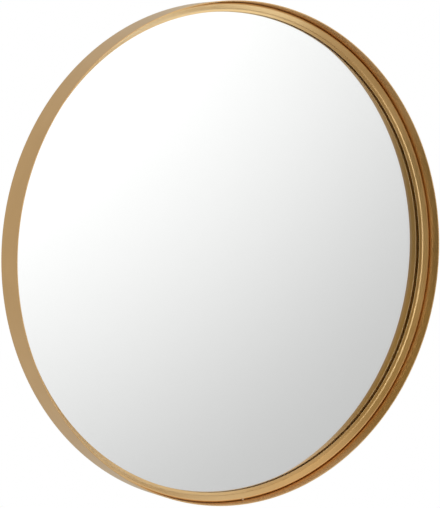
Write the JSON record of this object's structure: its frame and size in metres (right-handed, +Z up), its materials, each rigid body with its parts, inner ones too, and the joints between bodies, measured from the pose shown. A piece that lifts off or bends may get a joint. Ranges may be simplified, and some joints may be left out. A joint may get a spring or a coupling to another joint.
{
  "type": "round wall mirror",
  "caption": "Round wall mirror in a deep, thin metal hoop with a folded inner bezel, on a fibreboard back with ring hangers.",
  "frame": {"origin": "centre of the mirror, on the wall that its four pads touch", "axes": "+Z up, +Y into the wall; the mirror faces -Y"},
  "size_m": [0.5999, 0.0405, 0.6],
  "materials": {
    "gold_lacquer": "satin gold lacquer on steel",
    "float_glass": "polished clear float glass",
    "silvering": "silvered, with protective paint behind",
    "fibreboard": "plain sanded fibreboard",
    "black_rubber": "matt rubber and foam",
    "zinc_plate": "zinc-plated steel"
  },
  "bodies": {
    "frame": {"outer_hoop": "gold_lacquer", "inner_bezel": "gold_lacquer", "seam_weld": "gold_lacquer", "glass_gasket": "black_rubber", "mirror_glass": "float_glass", "silver_coating": "silvering", "backing_board": "fibreboard", "hanger_screws": "zinc_plate", "edge_spacer_1": "black_rubber", "edge_spacer_2": "black_rubber", "edge_spacer_3": "black_rubber", "edge_spacer_4": "black_rubber", "edge_spacer_5": "black_rubber", "edge_spacer_6": "black_rubber", "retaining_tab_1": "gold_lacquer", "retaining_tab_2": "gold_lacquer", "retaining_tab_3": "gold_lacquer", "retaining_tab_4": "gold_lacquer", "retaining_tab_5": "gold_lacquer", "retaining_tab_6": "gold_lacquer", "retaining_tab_7": "gold_lacquer", "retaining_tab_8": "gold_lacquer", "wall_pad_1": "black_rubber", "wall_pad_2": "black_rubber", "wall_pad_3": "black_rubber", "wall_pad_4": "black_rubber", "hanger_strap_left": "zinc_plate", "hanger_strap_right": "zinc_plate"},
    "ring_left": {"hanger_ring_left": "zinc_plate"},
    "ring_right": {"hanger_ring_right": "zinc_plate"}
  },
  "joints": [
    {"name": "ring_left_swing", "type": "hinge", "parent": "frame", "child": "ring_left", "pos_m": [-0.17, -0.00332, 0.16], "axis": [1, 0, 0], "range_deg": [-2, 182]},
    {"name": "ring_right_swing", "type": "hinge", "parent": "frame", "child": "ring_right", "pos_m": [0.17, -0.00332, 0.16], "axis": [1, 0, 0], "range_deg": [-2, 182]}
  ]
}
